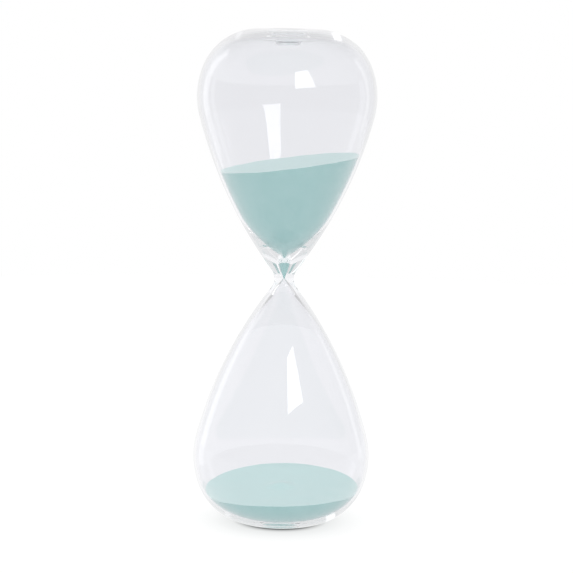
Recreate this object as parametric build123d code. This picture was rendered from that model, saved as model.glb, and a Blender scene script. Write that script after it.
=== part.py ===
from build123d import *
import os
from math import atan2, cos, degrees, hypot, radians, sin

# A frameless sand timer: two blown glass bulbs fused at the waist, with loose sand sealed inside.
# Frame: the base plane is z = 0, +Z runs up along the axis, and the waist is at mid height.

# Whole timer, millimetres and degrees. Angles are measured from the axis.
height = 240.0
half_height = height / 2

# Outside of one bulb, from the waist outwards
waist_radius = 4.9
waist_half_length = 0.91     # each bulb brings half of the short straight waist
waist_blend_radius = 5.0     # soft corner between the waist and the flank
flare_angle = 37.15          # lean of the flank where it leaves the waist
flank_end_angle = 14.8       # lean of the flank where the belly begins
belly_arc_radius = 39.5
belly_end_angle = 22.0       # the belly turns this far back towards the axis
shoulder_arc_radius = 28.0
foot_ring_inner_radius = 10.5
kick_up_depth = 1.5          # hollow in the middle of each flat end

# Inside of one bulb
wall = 1.3                   # thickness along the flank and the belly
end_wall = 2.6               # thickness at the flat end
throat_radius = 0.4          # the hole that meters the sand

# Inside of each neck, from the throat outwards: lean and length of the nozzle, radius of the
# rounded edge where it opens, and lean of the funnel beyond that edge
upper_neck = (14.5, 9.0, 1.5, 54.5)
lower_neck = (30.0, 8.0, 4.0, 45.0)

# Filling hole and the glass bead that closes it
fill_hole_radius = 3.5
seal_bead_radius = 6.0
seal_bead_depth = 6.0        # from the end plane to the inner face of the bead
seal_bead_edge = 2.0
seal_dome_height = 0.7       # outside, still below the foot ring

# Sand
sand_clearance = 0.15        # grains touch the glass only at points
upper_sand_level = 176.0     # height of its surface on the axis
upper_sand_slope = 0.135     # rise per millimetre towards +X
lower_sand_level = 16.9
lower_sand_slope = 0.02
lower_sand_rise_back = 0.03  # rise per millimetre towards +Y
mound_radius = 9.0
mound_height = 1.6

flank_arc_radius = (
    half_height
    - waist_half_length
    - waist_blend_radius * sin(radians(flare_angle))
    - belly_arc_radius * (sin(radians(flank_end_angle)) + sin(radians(belly_end_angle)))
    - shoulder_arc_radius * (1 - sin(radians(belly_end_angle)))
) / (sin(radians(flare_angle)) - sin(radians(flank_end_angle)))


def heading(lean):
    """Direction that leans outwards from the axis by an angle, in the (radius, height) plane."""
    return (sin(radians(lean)), cos(radians(lean)))


def left_of(lean):
    """Direction at a right angle to heading(lean), on the side of the axis."""
    return (-cos(radians(lean)), sin(radians(lean)))


def step(point, direction, length):
    return (point[0] + direction[0] * length, point[1] + direction[1] * length)


def arc_end(start, lean_from, lean_to, radius):
    """End of an arc between two leans. Its radius is negative where it turns away from the axis."""
    return step(step(start, left_of(lean_from), radius), left_of(lean_to), -radius)


def flank_start():
    """Where the soft corner of the waist runs into the flank, on the outside."""
    return arc_end((waist_radius, waist_half_length), 0, flare_angle, -waist_blend_radius)


def outer_line():
    """Outside of a bulb: waist, flank, belly, shoulder and the foot ring, waist plane at height 0."""
    waist = Line((waist_radius, 0), (waist_radius, waist_half_length))
    blend = JernArc(waist @ 1, waist % 1, waist_blend_radius, -flare_angle)
    flank = JernArc(blend @ 1, blend % 1, flank_arc_radius, flare_angle - flank_end_angle)
    belly = JernArc(flank @ 1, flank % 1, belly_arc_radius, flank_end_angle + belly_end_angle)
    shoulder = JernArc(belly @ 1, belly % 1, shoulder_arc_radius, 90 - belly_end_angle)
    foot = Line(shoulder @ 1, (foot_ring_inner_radius, half_height))
    return [waist, blend, flank, belly, shoulder, foot]


def inner_line(neck, gap=0.0):
    """Inside of a bulb, moved towards the axis by a gap: nozzle, lip, funnel, flank, belly, shoulder."""
    nozzle_angle, nozzle_length, nozzle_lip_radius, funnel_angle = neck
    flank_centre = step(flank_start(), left_of(flare_angle), flank_arc_radius)
    flank_end = arc_end(flank_start(), flare_angle, flank_end_angle, flank_arc_radius)
    belly_end = arc_end(flank_end, flank_end_angle, -belly_end_angle, belly_arc_radius)
    inside_belly_end = step(belly_end, left_of(-belly_end_angle), wall + gap)
    # The inner shoulder arc has its own radius, so that the glass thickens towards the flat end
    floor_rise = half_height - end_wall - gap - inside_belly_end[1]
    inner_shoulder_radius = floor_rise / (1 - sin(radians(belly_end_angle)))

    nozzle_start = step((throat_radius, 0), left_of(nozzle_angle), gap)
    nozzle_end = step(nozzle_start, heading(nozzle_angle), nozzle_length / cos(radians(nozzle_angle)))
    lip_radius = nozzle_lip_radius + gap
    lip_end = step(step(nozzle_end, left_of(nozzle_angle), -lip_radius), left_of(funnel_angle), lip_radius)
    # The funnel arc leaves the lip at the funnel angle and runs into the flank without a corner
    inner_flank_radius = flank_arc_radius - wall - gap
    across = (lip_end[0] - flank_centre[0], lip_end[1] - flank_centre[1])
    inward = left_of(funnel_angle)
    lean_sum = inner_flank_radius + across[0] * inward[0] + across[1] * inward[1]
    funnel_radius = (inner_flank_radius**2 - hypot(*across) ** 2) / (2 * lean_sum)
    funnel_centre = step(lip_end, inward, funnel_radius)
    meet = (funnel_centre[0] - flank_centre[0], funnel_centre[1] - flank_centre[1])
    meet_angle = degrees(atan2(-meet[1], meet[0]))

    nozzle = Line(nozzle_start, nozzle_end)
    lip = JernArc(nozzle @ 1, nozzle % 1, lip_radius, nozzle_angle - funnel_angle)
    funnel = JernArc(lip @ 1, lip % 1, funnel_radius, funnel_angle - meet_angle)
    flank = JernArc(funnel @ 1, funnel % 1, inner_flank_radius, meet_angle - flank_end_angle)
    belly = JernArc(flank @ 1, flank % 1, belly_arc_radius - wall - gap, flank_end_angle + belly_end_angle)
    shoulder = JernArc(belly @ 1, belly % 1, inner_shoulder_radius, 90 - belly_end_angle)
    return [nozzle, lip, funnel, flank, belly, shoulder]


def turned(lines):
    """Solid of revolution about the axis from a closed outline in the (radius, height) plane."""
    outline = Plane.XZ * make_face(Wire(lines))
    return revolve(outline, Axis.Z)


def bulb(neck):
    """One bulb with a closed flat end, waist plane at height 0 and end plane at half_height."""
    outside, inside = outer_line(), inner_line(neck)
    kick_up = (0, half_height - kick_up_depth)
    kick_up_radius = (foot_ring_inner_radius**2 + kick_up_depth**2) / (2 * kick_up_depth)
    hollow = RadiusArc(outside[-1] @ 1, kick_up, kick_up_radius)
    floor = Line(inside[-1] @ 1, (0, half_height - end_wall))
    centre = Line(kick_up, floor @ 1)
    waist_face = Line(inside[0] @ 0, outside[0] @ 0)
    return turned(outside + [hollow, centre, floor] + inside[::-1] + [waist_face])


def cavity(neck, gap):
    """Space inside one bulb, shrunk by a gap, waist plane at height 0."""
    inside = inner_line(neck, gap)
    floor_height = half_height - end_wall - gap
    floor = Line(inside[-1] @ 1, (0, floor_height))
    centre = Line(floor @ 1, (0, (inside[0] @ 0).Y))
    tip = Line(centre @ 1, inside[0] @ 0)
    return turned(inside + [floor, centre, tip])


def fill_seal():
    """Bead of glass fused into the filling hole, with its dome inside the kick-up."""
    outside = half_height - kick_up_depth
    floor = half_height - end_wall
    face = half_height - seal_bead_depth
    dome_radius = (fill_hole_radius**2 + seal_dome_height**2) / (2 * seal_dome_height)
    dome = RadiusArc((0, outside + seal_dome_height), (fill_hole_radius, outside), dome_radius)
    neck = Line(dome @ 1, (fill_hole_radius, floor))
    flange = Line(neck @ 1, (seal_bead_radius, floor))
    side = Line(flange @ 1, (seal_bead_radius, face + seal_bead_edge))
    edge = RadiusArc(side @ 1, (seal_bead_radius - seal_bead_edge, face), seal_bead_edge)
    bottom = Line(edge @ 1, (0, face))
    centre = Line(bottom @ 1, dome @ 0)
    return turned([dome, neck, flange, side, edge, bottom, centre])


def below(level, slope, rise_back=0.0):
    """Large block whose tilted top plane crosses the axis at a height."""
    surface = Plane(origin=(0, 0, level), z_dir=(-slope, -rise_back, 1))
    return surface * Box(height, height, height, align=(Align.CENTER, Align.CENTER, Align.MAX))


def mound(level):
    """Low heap on the axis, where the falling grains land."""
    radius = (mound_radius**2 + mound_height**2) / (2 * mound_height)
    cap = RadiusArc((0, level + mound_height), (mound_radius, level), radius)
    root = Line(cap @ 1, (mound_radius, level - mound_height))
    base = Line(root @ 1, (0, level - mound_height))
    centre = Line(base @ 1, cap @ 0)
    return turned([cap, root, base, centre])


def lift(shape):
    return Pos(0, 0, half_height) * shape


def turned_over(shape):
    return Pos(0, 0, half_height) * mirror(shape, about=Plane.XY)


def upper_bulb():
    hole = Cylinder(fill_hole_radius, 4 * end_wall)
    return lift(bulb(upper_neck) - Pos(0, 0, half_height) * hole)


def lower_bulb():
    return turned_over(bulb(lower_neck))


def upper_sand():
    return lift(cavity(upper_neck, sand_clearance)) & below(upper_sand_level, upper_sand_slope)


def lower_sand():
    surface = below(lower_sand_level, lower_sand_slope, lower_sand_rise_back)
    bed = turned_over(cavity(lower_neck, sand_clearance)) & surface
    return bed + mound(lower_sand_level)


nodes = {
    "upper_bulb": upper_bulb,
    "lower_bulb": lower_bulb,
    "fill_seal": lambda: lift(fill_seal()),
    "upper_sand": upper_sand,
    "lower_sand": lower_sand,
}

os.makedirs("parts", exist_ok=True)
for name, make in nodes.items():
    shape = make()
    solids = shape.solids()
    print(name, len(solids), "solid", round(shape.volume / 1000, 2), "cm3")
    export_step(solids[0] if len(solids) == 1 else Compound(children=solids), f"parts/{name}.step")
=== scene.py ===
from math import asin, atan2, cos, degrees, pi, radians, sin
import bmesh
import bpy
from mathutils import Matrix, Vector, noise


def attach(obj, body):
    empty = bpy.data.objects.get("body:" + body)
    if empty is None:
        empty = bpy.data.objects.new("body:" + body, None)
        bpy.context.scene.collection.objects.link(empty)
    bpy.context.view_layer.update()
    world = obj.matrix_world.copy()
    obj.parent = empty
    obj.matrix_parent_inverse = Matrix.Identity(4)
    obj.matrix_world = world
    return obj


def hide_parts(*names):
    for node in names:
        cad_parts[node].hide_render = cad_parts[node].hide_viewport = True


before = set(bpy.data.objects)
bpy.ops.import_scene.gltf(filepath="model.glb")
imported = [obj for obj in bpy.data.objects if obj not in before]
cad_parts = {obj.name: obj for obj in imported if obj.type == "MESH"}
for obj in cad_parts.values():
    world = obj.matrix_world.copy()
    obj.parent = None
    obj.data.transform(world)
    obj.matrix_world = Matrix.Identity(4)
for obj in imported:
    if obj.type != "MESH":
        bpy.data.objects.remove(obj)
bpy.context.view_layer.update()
mm = 0.001
print("frame loaded:", sorted(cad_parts))


cameraSetup = {
    "distance": 1.0,         # metres from the axis
    "height": 0.2637,
    "lookDown": 8.40,        # degrees below level
    "lookRight": 0.071,
    "roll": 1.022,           # the camera isn't quite level
    "lens": 131.0,
    "sensor": 36.0,
    "clipStart": 0.01,
}


def makeCamera(setup):
    down, right, roll = (radians(setup[k]) for k in ("lookDown", "lookRight", "roll"))
    forward = Vector((sin(right) * cos(down), cos(right) * cos(down), -sin(down)))
    side = forward.cross(Vector((0, 0, 1))).normalized()
    up = side.cross(forward)
    rolledSide = side * cos(roll) + up * sin(roll)
    rolledUp = up * cos(roll) - side * sin(roll)
    turn = Matrix((rolledSide, rolledUp, -forward)).transposed()
    data = bpy.data.cameras.new("camera")
    data.lens = setup["lens"]
    data.sensor_width = setup["sensor"]
    data.clip_start = setup["clipStart"]
    camera = bpy.data.objects.new("camera", data)
    place = Matrix.Translation((0, -setup["distance"], setup["height"]))
    camera.matrix_world = place @ turn.to_4x4()
    bpy.context.scene.collection.objects.link(camera)
    bpy.context.scene.camera = camera


makeCamera(cameraSetup)


# half outlines lie in the XZ plane and start at the waist; a lean is measured from the axis
bulbShape = {                # millimetres and degrees, the same numbers as the CAD bulbs
    "halfHeight": 120.0,
    "waistRadius": 4.9,
    "waistHalfLength": 0.91,
    "waistBlend": 5.0,
    "flareLean": 37.15,
    "flankLean": 14.8,
    "bellyArc": 39.5,
    "bellyLean": 22.0,
    "shoulderArc": 28.0,
    "footRing": 10.5,
    "kickUp": 1.5,
    "wall": 1.3,
    "endWall": 2.6,
    "throatRadius": 0.4,
    "fillHole": 3.5,
}
upperNeck = {"lean": 14.5, "length": 9.0, "lip": 1.5, "funnelLean": 54.5}   # from the throat outwards
lowerNeck = {"lean": 30.0, "length": 8.0, "lip": 4.0, "funnelLean": 45.0}


def at(radius, height):
    return Vector((radius, 0, height))


def heading(lean):
    return at(sin(radians(lean)), cos(radians(lean)))


def leftOf(lean):
    return at(-cos(radians(lean)), sin(radians(lean)))


def arcEnd(start, leanFrom, leanTo, radius):
    return start + (leftOf(leanFrom) - leftOf(leanTo)) * radius


def outsidePlan(s):
    # leans and radii of the outside arcs; the flank arc makes up the rest of the height
    flankArc = (
        s["halfHeight"] - s["waistHalfLength"] - s["waistBlend"] * sin(radians(s["flareLean"]))
        - s["bellyArc"] * (sin(radians(s["flankLean"])) + sin(radians(s["bellyLean"])))
        - s["shoulderArc"] * (1 - sin(radians(s["bellyLean"])))
    ) / (sin(radians(s["flareLean"])) - sin(radians(s["flankLean"])))
    start = at(s["waistRadius"], s["waistHalfLength"])
    flankStart = arcEnd(start, 0, s["flareLean"], -s["waistBlend"])
    flankEnd = arcEnd(flankStart, s["flareLean"], s["flankLean"], flankArc)
    bellyEnd = arcEnd(flankEnd, s["flankLean"], -s["bellyLean"], s["bellyArc"])
    return {"flankArc": flankArc, "flankStart": flankStart, "bellyEnd": bellyEnd}


def insidePlan(s, neck, gap):
    # the inside, moved towards the axis by a gap: each arc is (lean from, lean to, radius, steps)
    out = outsidePlan(s)
    wall = s["wall"] + gap
    flankCentre = out["flankStart"] + leftOf(s["flareLean"]) * out["flankArc"]
    bellyEnd = out["bellyEnd"] + leftOf(-s["bellyLean"]) * wall
    floor = s["halfHeight"] - s["endWall"] - gap
    shoulderArc = (floor - bellyEnd.z) / (1 - sin(radians(s["bellyLean"])))
    nozzleStart = at(s["throatRadius"], 0) + leftOf(neck["lean"]) * gap
    nozzleEnd = nozzleStart + heading(neck["lean"]) * neck["length"] / cos(radians(neck["lean"]))
    lipArc = neck["lip"] + gap
    lipEnd = arcEnd(nozzleEnd, neck["lean"], neck["funnelLean"], -lipArc)
    # the funnel arc leaves the lip at its lean and runs into the flank without a corner
    flankArc = out["flankArc"] - wall
    across = lipEnd - flankCentre
    inward = leftOf(neck["funnelLean"])
    funnelArc = (flankArc ** 2 - across.length_squared) / (2 * (flankArc + across.dot(inward)))
    meet = lipEnd + inward * funnelArc - flankCentre
    meetLean = degrees(atan2(-meet.z, meet.x))
    return {
        "nozzleStart": nozzleStart,
        "nozzleEnd": nozzleEnd,
        "floor": floor,
        "arcs": [
            (neck["lean"], neck["funnelLean"], -lipArc, 8),
            (neck["funnelLean"], meetLean, funnelArc, 20),
            (meetLean, s["flankLean"], flankArc, 24),
            (s["flankLean"], -s["bellyLean"], s["bellyArc"] - wall, 24),
            (-s["bellyLean"], -90, shoulderArc, 28),
        ],
    }


def lineTo(bm, vert, end, steps=1):
    start = vert.co.copy()
    for i in range(steps):
        vert = bmesh.ops.extrude_vert_indiv(bm, verts=[vert])["verts"][0]
        vert.co = start.lerp(end, (i + 1) / steps)
    return vert


def arcTo(bm, vert, leanFrom, leanTo, radius, steps):
    # spins the last point round a centre on its left; a negative radius turns the other way
    made = bmesh.ops.spin(bm, geom=[vert], cent=vert.co + leftOf(leanFrom) * radius, axis=(0, 1, 0),
                          dvec=(0, 0, 0), angle=radians(leanTo - leanFrom), steps=steps, use_merge=False)
    return [g for g in made["geom_last"] if isinstance(g, bmesh.types.BMVert)][0]


def drawOutside(bm, s):
    out = outsidePlan(s)
    vert = bm.verts.new(at(s["waistRadius"], 0))
    vert = lineTo(bm, vert, at(s["waistRadius"], s["waistHalfLength"]), 3)
    vert = arcTo(bm, vert, 0, s["flareLean"], -s["waistBlend"], 8)
    vert = arcTo(bm, vert, s["flareLean"], s["flankLean"], out["flankArc"], 44)
    vert = arcTo(bm, vert, s["flankLean"], -s["bellyLean"], s["bellyArc"], 24)
    vert = arcTo(bm, vert, -s["bellyLean"], -90, s["shoulderArc"], 28)
    return lineTo(bm, vert, at(s["footRing"], s["halfHeight"]), 2)


def drawInside(bm, s, neck, gap=0.0):
    plan = insidePlan(s, neck, gap)
    vert = bm.verts.new(plan["nozzleStart"])
    vert = lineTo(bm, vert, plan["nozzleEnd"], 10)
    for leanFrom, leanTo, radius, steps in plan["arcs"]:
        vert = arcTo(bm, vert, leanFrom, leanTo, radius, steps)
    return vert


def turnOver(bm):
    bmesh.ops.scale(bm, verts=bm.verts, vec=(1, 1, -1))


def spinRound(bm, segments):
    bmesh.ops.spin(bm, geom=bm.verts[:] + bm.edges[:], cent=(0, 0, 0), axis=(0, 0, 1), dvec=(0, 0, 0),
                   angle=2 * pi, steps=segments, use_merge=True)
    bmesh.ops.remove_doubles(bm, verts=bm.verts, dist=1e-5)
    bmesh.ops.recalc_face_normals(bm, faces=bm.faces)


blownGlass = {
    "segments": 160,
    "stray": 0.07,           # millimetres that the hand-blown wall strays from round
    "strayLength": 38.0,
    "trueNeck": 10.0,        # within this radius the wall stays true
    "fadeLength": 20.0,
    "sharpAngle": 40,        # edges that turn further than this stay crisp
}


def makeUneven(bm, blown):
    # the wall strays slowly, and by the same amount inside and outside
    for vert in bm.verts:
        away = Vector((vert.co.x, vert.co.y, 0))
        if away.length > 1:
            fade = min(1, max(0, away.length - blown["trueNeck"]) / blown["fadeLength"])
            outward = away.normalized()
            point = Vector((outward.x, outward.y, vert.co.z / blown["strayLength"]))
            vert.co += outward * noise.noise(point) * 2 * blown["stray"] * fade


def finishPiece(name, bm, material, replaced, sharpAngle):
    bmesh.ops.translate(bm, verts=bm.verts, vec=(0, 0, bulbShape["halfHeight"]))
    bmesh.ops.scale(bm, verts=bm.verts, vec=(mm, mm, mm))
    mesh = bpy.data.meshes.new(name)
    bm.to_mesh(mesh)
    bm.free()
    mesh.shade_smooth()
    mesh.set_sharp_from_angle(angle=radians(sharpAngle))
    mesh.materials.append(material)
    piece = bpy.data.objects.new(name, mesh)
    bpy.context.scene.collection.objects.link(piece)
    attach(piece, "root")
    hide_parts(*replaced)
    print("made", name, len(mesh.polygons), "faces")
    return piece


clearGlass = {
    "tint": (0.938, 0.941, 0.960, 1.0),   # a very faint cool grey, seen through four surfaces
    "ior": 1.48,
    "shadow": (0.96, 0.96, 0.96, 1.0),    # what a surface lets through to light what is behind it
}


def makeGlass(name, look):
    material = bpy.data.materials.new(name)
    material.use_nodes = True
    nodes, links = material.node_tree.nodes, material.node_tree.links
    shader = nodes["Principled BSDF"]
    shader.inputs["Base Color"].default_value = look["tint"]
    shader.inputs["Roughness"].default_value = 0.0
    shader.inputs["IOR"].default_value = look["ior"]
    shader.inputs["Transmission Weight"].default_value = 1.0
    lightPath = nodes.new("ShaderNodeLightPath")
    clear = nodes.new("ShaderNodeBsdfTransparent")
    clear.inputs["Color"].default_value = look["shadow"]
    mix = nodes.new("ShaderNodeMixShader")
    links.new(lightPath.outputs["Is Shadow Ray"], mix.inputs[0])
    links.new(shader.outputs[0], mix.inputs[1])
    links.new(clear.outputs[0], mix.inputs[2])
    links.new(mix.outputs[0], nodes["Material Output"].inputs["Surface"])
    return material


sealShape = {                # the bead of glass that closes the filling hole in the upper end
    "beadRadius": 6.0,
    "beadDepth": 6.0,        # from the end plane to its inner face
    "beadEdge": 2.0,
    "beadFillet": 1.3,       # where it melted into the end wall
    "domeHeight": 0.7,
}


def kickUpTo(bm, edge, s, radius, steps):
    # the hollow in the middle of a flat end, from the foot ring to a radius
    arc = (s["footRing"] ** 2 + s["kickUp"] ** 2) / (2 * s["kickUp"])
    fromLean, toLean = (-90 - degrees(asin(r / arc)) for r in (s["footRing"], radius))
    return arcTo(bm, edge, fromLean, toLean, -arc, steps)


def drawVesselOutside(bm, s, seal):
    edge = drawOutside(bm, s)
    kickUpTo(bm, edge, s, 0, 10)
    turnOver(bm)
    edge = drawOutside(bm, s)
    edge = kickUpTo(bm, edge, s, s["fillHole"], 7)
    rise = s["halfHeight"] - s["kickUp"] + seal["domeHeight"] - edge.co.z
    arc = (s["fillHole"] ** 2 + rise ** 2) / (2 * rise)
    arcTo(bm, edge, -90 + degrees(asin(s["fillHole"] / arc)), -90, arc, 6)


def drawVesselInside(bm, s, seal):
    edge = drawInside(bm, s, lowerNeck)
    lineTo(bm, edge, at(0, edge.co.z), 3)
    turnOver(bm)
    edge = drawInside(bm, s, upperNeck)
    floor, fillet, bead = edge.co.z, seal["beadFillet"], seal["beadRadius"]
    edge = lineTo(bm, edge, at(bead + fillet, floor), 2)
    edge = arcTo(bm, edge, -90, -180, fillet, 4)
    edge = lineTo(bm, edge, at(bead, s["halfHeight"] - seal["beadDepth"] + seal["beadEdge"]))
    edge = arcTo(bm, edge, -180, -90, -seal["beadEdge"], 6)
    lineTo(bm, edge, at(0, edge.co.z), 3)


def makeVessel(name, s, seal, blown, glass, nodes):
    # both bulbs and the bead are one fused body of glass, with one outside and one inside
    bm = bmesh.new()
    drawVesselInside(bm, s, seal)
    spinRound(bm, blown["segments"])
    bmesh.ops.reverse_faces(bm, faces=bm.faces)
    inside = bpy.data.meshes.new("vesselInside")
    bm.to_mesh(inside)
    bm.clear()
    drawVesselOutside(bm, s, seal)
    spinRound(bm, blown["segments"])
    bm.from_mesh(inside)
    bpy.data.meshes.remove(inside)
    makeUneven(bm, blown)
    vessel = finishPiece(name, bm, glass, nodes, blown["sharpAngle"])
    vessel.visible_diffuse = False   # so the light from all round reaches the sand undimmed


makeVessel("glassVessel", bulbShape, sealShape, blownGlass, makeGlass("clearBlownGlass", clearGlass),
           ("upper_bulb", "lower_bulb", "fill_seal"))


sandLook = {
    "base": (0.30, 0.54, 0.53),
    "pale": (0.40, 0.62, 0.61),
    "paintedTopLight": (0.46, 0.65, 0.64),   # painted light: paler where a face looks up, standing in for the top being lit more than the sides
    "topStarts": 0.75,       # how far a face looks up where the painted top light begins, and where it is full
    "topFull": 0.95,
    "grain": 0.0004,         # metres
    "grainDetail": 2.0,
    "patch": 0.007,
    "patchDetail": 3.0,
    "patchShare": 0.35,      # of the patches in the colour, against the grains
    "allBase": 0.45,         # where the mixed pattern is all base and all pale
    "allPale": 0.90,
    "relief": 0.00012,
    "reliefStrength": 0.6,
    "roughness": 0.5,
    "specular": 0.9,
    "sheen": 0.2,
    "sheenRoughness": 0.45,
    "sheenTint": (1.0, 0.72, 0.74, 1.0),
}


def makeSandMaterial(name, look):
    material = bpy.data.materials.new(name)
    material.use_nodes = True
    nodes, links = material.node_tree.nodes, material.node_tree.links
    shader = nodes["Principled BSDF"]
    shader.inputs["Roughness"].default_value = look["roughness"]
    shader.inputs["Specular IOR Level"].default_value = look["specular"]
    shader.inputs["Sheen Weight"].default_value = look["sheen"]
    shader.inputs["Sheen Roughness"].default_value = look["sheenRoughness"]
    shader.inputs["Sheen Tint"].default_value = look["sheenTint"]
    place = nodes.new("ShaderNodeTexCoord")
    grain = nodes.new("ShaderNodeTexNoise")
    grain.inputs["Scale"].default_value = 1 / look["grain"]
    grain.inputs["Detail"].default_value = look["grainDetail"]
    patch = nodes.new("ShaderNodeTexNoise")
    patch.inputs["Scale"].default_value = 1 / look["patch"]
    patch.inputs["Detail"].default_value = look["patchDetail"]
    both = nodes.new("ShaderNodeMath")
    both.operation = "MULTIPLY_ADD"
    both.inputs[1].default_value = look["patchShare"]
    spread = nodes.new("ShaderNodeMapRange")
    spread.inputs["From Min"].default_value = look["allBase"]
    spread.inputs["From Max"].default_value = look["allPale"]
    colour = nodes.new("ShaderNodeMix")
    colour.data_type = "RGBA"
    colour.inputs["A"].default_value = (*look["base"], 1.0)
    colour.inputs["B"].default_value = (*look["pale"], 1.0)
    split = nodes.new("ShaderNodeSeparateXYZ")
    # painted light: faces that look up get the paler colour, as if lit more from above
    facesUp = nodes.new("ShaderNodeMapRange")
    facesUp.inputs["From Min"].default_value = look["topStarts"]
    facesUp.inputs["From Max"].default_value = look["topFull"]
    paintedTopMix = nodes.new("ShaderNodeMix")
    paintedTopMix.data_type = "RGBA"
    paintedTopMix.inputs["B"].default_value = (*look["paintedTopLight"], 1.0)
    links.new(place.outputs["Normal"], split.inputs[0])
    links.new(split.outputs["Z"], facesUp.inputs["Value"])
    links.new(facesUp.outputs["Result"], paintedTopMix.inputs["Factor"])
    links.new(colour.outputs["Result"], paintedTopMix.inputs["A"])
    bump = nodes.new("ShaderNodeBump")
    bump.inputs["Strength"].default_value = look["reliefStrength"]
    bump.inputs["Distance"].default_value = look["relief"]
    for texture in (grain, patch):
        links.new(place.outputs["Object"], texture.inputs["Vector"])
    links.new(patch.outputs["Fac"], both.inputs[0])
    links.new(grain.outputs["Fac"], both.inputs[2])
    links.new(both.outputs[0], spread.inputs["Value"])
    links.new(spread.outputs["Result"], colour.inputs["Factor"])
    links.new(paintedTopMix.outputs["Result"], shader.inputs["Base Color"])
    links.new(grain.outputs["Fac"], bump.inputs["Height"])
    links.new(bump.outputs["Normal"], shader.inputs["Normal"])
    return material


sandBody = {
    "clearance": 0.15,       # millimetres: grains touch the glass only at points
    "rings": 26,
    "roughness": 0.25,       # height of the slow unevenness of the surface
    "sharpAngle": 50,
}
upperSand = {
    "neck": upperNeck,
    "above": True,           # in the bulb above the waist
    "level": 56.0,           # from the waist
    "slope": 0.135,
    "riseBack": 0.0,
    "unevenLength": 9.0,     # of the slow unevenness
    "pattern": 3.0,          # picks one of its many patterns
}
lowerSand = {
    "neck": lowerNeck,
    "above": False,
    "level": -103.1,
    "slope": 0.03,
    "riseBack": 0.03,
    "unevenLength": 11.0,
    "pattern": 40.0,
    "moundRadius": 9.0,
    "moundHeight": 1.6,
    "saddle": 0.9,           # how far the front and back rise and the sides drop, at the rim
    "rimRadius": 38.0,
}


def smooth(x):
    x = min(1, max(0, x))
    return x * x * (3 - 2 * x)


def coverSand(bm, centre, rings):
    # rings of faces from the rim of the cut to its centre
    rim = [edge for edge in bm.edges if edge.is_boundary]
    for ring in range(rings, 0, -1):
        made = bmesh.ops.extrude_edge_only(bm, edges=rim)["geom"]
        verts = [g for g in made if isinstance(g, bmesh.types.BMVert)]
        rim = [g for g in made if isinstance(g, bmesh.types.BMEdge) and g.is_boundary]
        share = (ring - 1) / ring
        bmesh.ops.scale(bm, verts=verts, vec=(share, share, share), space=Matrix.Translation(-centre))
    bmesh.ops.remove_doubles(bm, verts=bm.verts, dist=1e-5)


def liftBy(bm, heightAt, share):
    for vert in bm.verts:
        vert.co.z += heightAt(vert.co) * share


def makeSand(name, node, material, sand, heightAt, s=bulbShape, body=sandBody, blown=blownGlass):
    bm = bmesh.new()
    plan = insidePlan(s, sand["neck"], body["clearance"])
    tip = bm.verts.new(at(0, plan["nozzleStart"].z))
    lineTo(bm, tip, plan["nozzleStart"])
    edge = drawInside(bm, s, sand["neck"], body["clearance"])
    lineTo(bm, edge, at(0, plan["floor"]), 3)
    if not sand["above"]:
        turnOver(bm)
    spinRound(bm, blown["segments"])
    makeUneven(bm, blown)
    centre = at(0, sand["level"])
    # lowered by its relief, cut flat and raised again, so that the surface and its rim both follow it
    liftBy(bm, heightAt, -1)
    bmesh.ops.bisect_plane(bm, geom=bm.verts[:] + bm.edges[:] + bm.faces[:], dist=1e-5, plane_co=centre,
                           plane_no=(-sand["slope"], -sand["riseBack"], 1), clear_outer=True)
    coverSand(bm, centre, body["rings"])
    liftBy(bm, heightAt, 1)
    bmesh.ops.recalc_face_normals(bm, faces=bm.faces)
    finishPiece(name, bm, material, (node,), body["sharpAngle"])


def slowRelief(point, sand):
    place = Vector((point.x, point.y, sand["pattern"])) / sand["unevenLength"]
    return sandBody["roughness"] * noise.noise(place)


def upperRelief(point):
    return slowRelief(point, upperSand)


def lowerRelief(point):
    away = Vector((point.x, point.y)).length
    mound = lowerSand["moundHeight"] * smooth(1 - away / lowerSand["moundRadius"])
    saddle = lowerSand["saddle"] * (point.y ** 2 - point.x ** 2) / lowerSand["rimRadius"] ** 2
    return mound + saddle + slowRelief(point, lowerSand)


sandMaterial = makeSandMaterial("tealSand", sandLook)
makeSand("upperSandBody", "upper_sand", sandMaterial, upperSand, upperRelief)
makeSand("lowerSandBed", "lower_sand", sandMaterial, lowerSand, lowerRelief)


floorLook = {
    "radius": 0.85,
    "colour": 0.10,
    "glow": 0.91,            # with the light on it this adds up to white
    "paintedShadowRadius": 0.05,   # metres; the painted contact shadow: each stop below is a share of this and a share of the glow
    "paintedContactShadow": [
        (0.30, 1.0), (0.32, 0.0), (0.36, 0.06), (0.385, 0.32), (0.415, 0.62),
        (0.47, 0.87), (0.55, 0.91), (0.66, 0.96), (0.93, 1.0),
    ],
    "drop": 0.0002,          # just under the base, so that the two don't share a plane
}


def makeFloorMaterial(look):
    material = bpy.data.materials.new("paleFloor")
    material.use_nodes = True
    nodes, links = material.node_tree.nodes, material.node_tree.links
    shader = nodes["Principled BSDF"]
    shader.inputs["Base Color"].default_value = (look["colour"], look["colour"], look["colour"], 1)
    shader.inputs["Roughness"].default_value = 1.0
    shader.inputs["Specular IOR Level"].default_value = 0.0
    shader.inputs["Emission Strength"].default_value = look["glow"]
    place = nodes.new("ShaderNodeTexCoord")
    away = nodes.new("ShaderNodeVectorMath")
    away.operation = "LENGTH"
    share = nodes.new("ShaderNodeMath")
    share.operation = "DIVIDE"
    share.inputs[1].default_value = look["paintedShadowRadius"]
    # painted shadow: the glow is darkened in a ring round the base, standing in for a contact shadow
    ramp = nodes.new("ShaderNodeValToRGB")
    stops = ramp.color_ramp.elements
    while len(stops) < len(look["paintedContactShadow"]):
        stops.new(0.5)
    for stop, (position, level) in zip(stops, look["paintedContactShadow"]):
        stop.position = position
        stop.color = (level, level, level, 1)
    links.new(place.outputs["Object"], away.inputs[0])
    links.new(away.outputs["Value"], share.inputs[0])
    links.new(share.outputs[0], ramp.inputs["Fac"])
    links.new(ramp.outputs["Color"], shader.inputs["Emission Color"])
    return material


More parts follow.
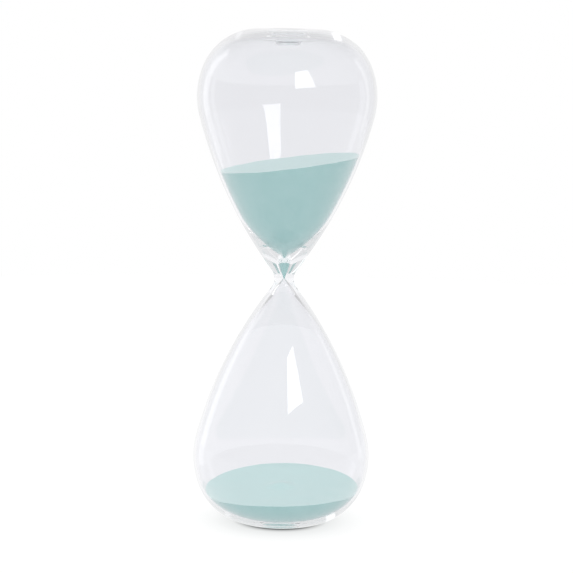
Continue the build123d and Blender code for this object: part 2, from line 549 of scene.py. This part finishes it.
def makeFloor(look):
    bm = bmesh.new()
    bmesh.ops.create_circle(bm, cap_ends=True, segments=128, radius=look["radius"])
    mesh = bpy.data.meshes.new("floor")
    bm.to_mesh(mesh)
    bm.free()
    mesh.materials.append(makeFloorMaterial(look))
    floor = bpy.data.objects.new("floor", mesh)
    floor.location.z = -look["drop"]
    floor.visible_glossy = False     # its edge would show as a line in the glass
    bpy.context.scene.collection.objects.link(floor)


makeFloor(floorLook)


# the glass reflects a room that is dark in front and light at the back
studio = {
    "background": 1.0,
    "front": 0.12,
    "back": 0.93,
    "backStarts": -0.5,      # cosine of the angle from the back where the dark front ends
    "leftIsLighter": 0.25,
    "ceiling": 0.15,
    "ceilingStarts": 0.35,   # sine of the height where the ceiling begins, and where it is full
    "ceilingFull": 0.75,
    "caughtOnce": 0.65,      # the least that light brings out after one bounce inside a wall
    "caught": 0.85,          # and after more of them
}


def addMath(tree, operation, *values):
    # a Math node; each value is a number or a socket
    node = tree.nodes.new("ShaderNodeMath")
    node.operation = operation
    for socket, value in zip(node.inputs, values):
        if isinstance(value, (int, float)):
            socket.default_value = value
        else:
            tree.links.new(value, socket)
    return node.outputs[0]


def addMix(tree, factor, a, b):
    node = tree.nodes.new("ShaderNodeMix")
    for name, value in (("Factor", factor), ("A", a), ("B", b)):
        if isinstance(value, (int, float)):
            node.inputs[name].default_value = value
        else:
            tree.links.new(value, node.inputs[name])
    return node.outputs["Result"]


def addSmoothRange(tree, value, start, end, toStart, toEnd):
    node = tree.nodes.new("ShaderNodeMapRange")
    node.interpolation_type = "SMOOTHSTEP"
    for name, number in (("From Min", start), ("From Max", end), ("To Min", toStart), ("To Max", toEnd)):
        node.inputs[name].default_value = number
    tree.links.new(value, node.inputs["Value"])
    return node.outputs["Result"]


def makeWorld(look):
    world = bpy.data.worlds.new("studio")
    world.use_nodes = True
    tree = world.node_tree
    lightPath = tree.nodes.new("ShaderNodeLightPath")
    bounces, passes = lightPath.outputs["Glossy Depth"], lightPath.outputs["Transmission Depth"]
    place = tree.nodes.new("ShaderNodeTexCoord")
    split = tree.nodes.new("ShaderNodeSeparateXYZ")
    tree.links.new(place.outputs["Generated"], split.inputs[0])
    towards = addMath(tree, "MULTIPLY_ADD", split.outputs["X"], -look["leftIsLighter"],
                      split.outputs["Y"])
    room = addSmoothRange(tree, towards, look["backStarts"], 1.0, look["front"], look["back"])
    overhead = addSmoothRange(tree, split.outputs["Z"], look["ceilingStarts"], look["ceilingFull"],
                              0.0, 1.0)
    room = addMix(tree, overhead, room, look["ceiling"])
    # a plain reflection comes off the front, or off the back after two walls on the way
    offFront = addMath(tree, "COMPARE", passes, 0, 0.5)
    offBack = addMath(tree, "COMPARE", passes, 4, 0.5)
    plain = addMath(tree, "MAXIMUM", offFront, offBack)
    once = addMix(tree, plain, addMath(tree, "MAXIMUM", room, look["caughtOnce"]), room)
    reflected = addMix(tree, addMath(tree, "GREATER_THAN", bounces, 1.5), once, look["caught"])
    strength = addMix(tree, addMath(tree, "GREATER_THAN", bounces, 0.5), look["background"], reflected)
    background = tree.nodes["Background"]
    background.inputs["Color"].default_value = (1, 1, 1, 1)
    tree.links.new(strength, background.inputs["Strength"])
    bpy.context.scene.world = world


makeWorld(studio)


softboxes = {                # corners in metres, and how bright each one is
    "frontBox": {
        "corners": [(0.104, -0.621, 0.370), (0.334, -0.454, 0.362),
                    (0.300, -0.531, 0.708), (0.114, -0.650, 0.698)],
        "glow": 3.7,
    },
    "leftPanel": {
        "corners": [(-0.80, 0.44, -0.2), (-0.66, 0.62, -0.2), (-0.66, 0.62, 0.9), (-0.80, 0.44, 0.9)],
        "glow": 1.35,
    },
    "rightStrip": {
        "corners": [(0.79, 0.44, -0.1), (0.70, 0.56, -0.1), (0.70, 0.56, 0.7), (0.79, 0.44, 0.7)],
        "glow": 1.0,
    },
}


def makeSoftbox(name, look):
    # seen only as a reflection, never straight through the glass
    bm = bmesh.new()
    bmesh.ops.contextual_create(bm, geom=[bm.verts.new(corner) for corner in look["corners"]])
    mesh = bpy.data.meshes.new(name)
    bm.to_mesh(mesh)
    bm.free()
    material = bpy.data.materials.new(name)
    material.use_nodes = True
    nodes, links = material.node_tree.nodes, material.node_tree.links
    nodes.remove(nodes["Principled BSDF"])
    glow = nodes.new("ShaderNodeEmission")
    glow.inputs["Strength"].default_value = look["glow"]
    clear = nodes.new("ShaderNodeBsdfTransparent")
    mix = nodes.new("ShaderNodeMixShader")
    lightPath = nodes.new("ShaderNodeLightPath")
    links.new(lightPath.outputs["Glossy Depth"], mix.inputs[0])
    links.new(clear.outputs[0], mix.inputs[1])
    links.new(glow.outputs[0], mix.inputs[2])
    links.new(mix.outputs[0], nodes["Material Output"].inputs["Surface"])
    mesh.materials.append(material)
    box = bpy.data.objects.new(name, mesh)
    for kind in ("camera", "diffuse", "shadow"):
        setattr(box, "visible_" + kind, False)
    bpy.context.scene.collection.objects.link(box)


skyLight = {"strength": 1.2, "spread": 80, "lean": 12}


def makeSkyLight(look):
    data = bpy.data.lights.new("skyLight", "SUN")
    data.energy = look["strength"]
    data.angle = radians(look["spread"])
    light = bpy.data.objects.new("skyLight", data)
    light.rotation_euler = (radians(look["lean"]), 0, 0)
    light.visible_glossy = False
    light.visible_transmission = False
    bpy.context.scene.collection.objects.link(light)


for name, look in softboxes.items():
    makeSoftbox(name, look)
makeSkyLight(skyLight)
print("lit the studio")

# light can run a long way round inside a wall of glass before it comes out
lightBounces = 200
cycles = bpy.context.scene.cycles
cycles.max_bounces = cycles.glossy_bounces = cycles.transmission_bounces = lightBounces
bpy.context.scene.view_settings.view_transform = "Standard"
bpy.context.scene.view_settings.look = "None"
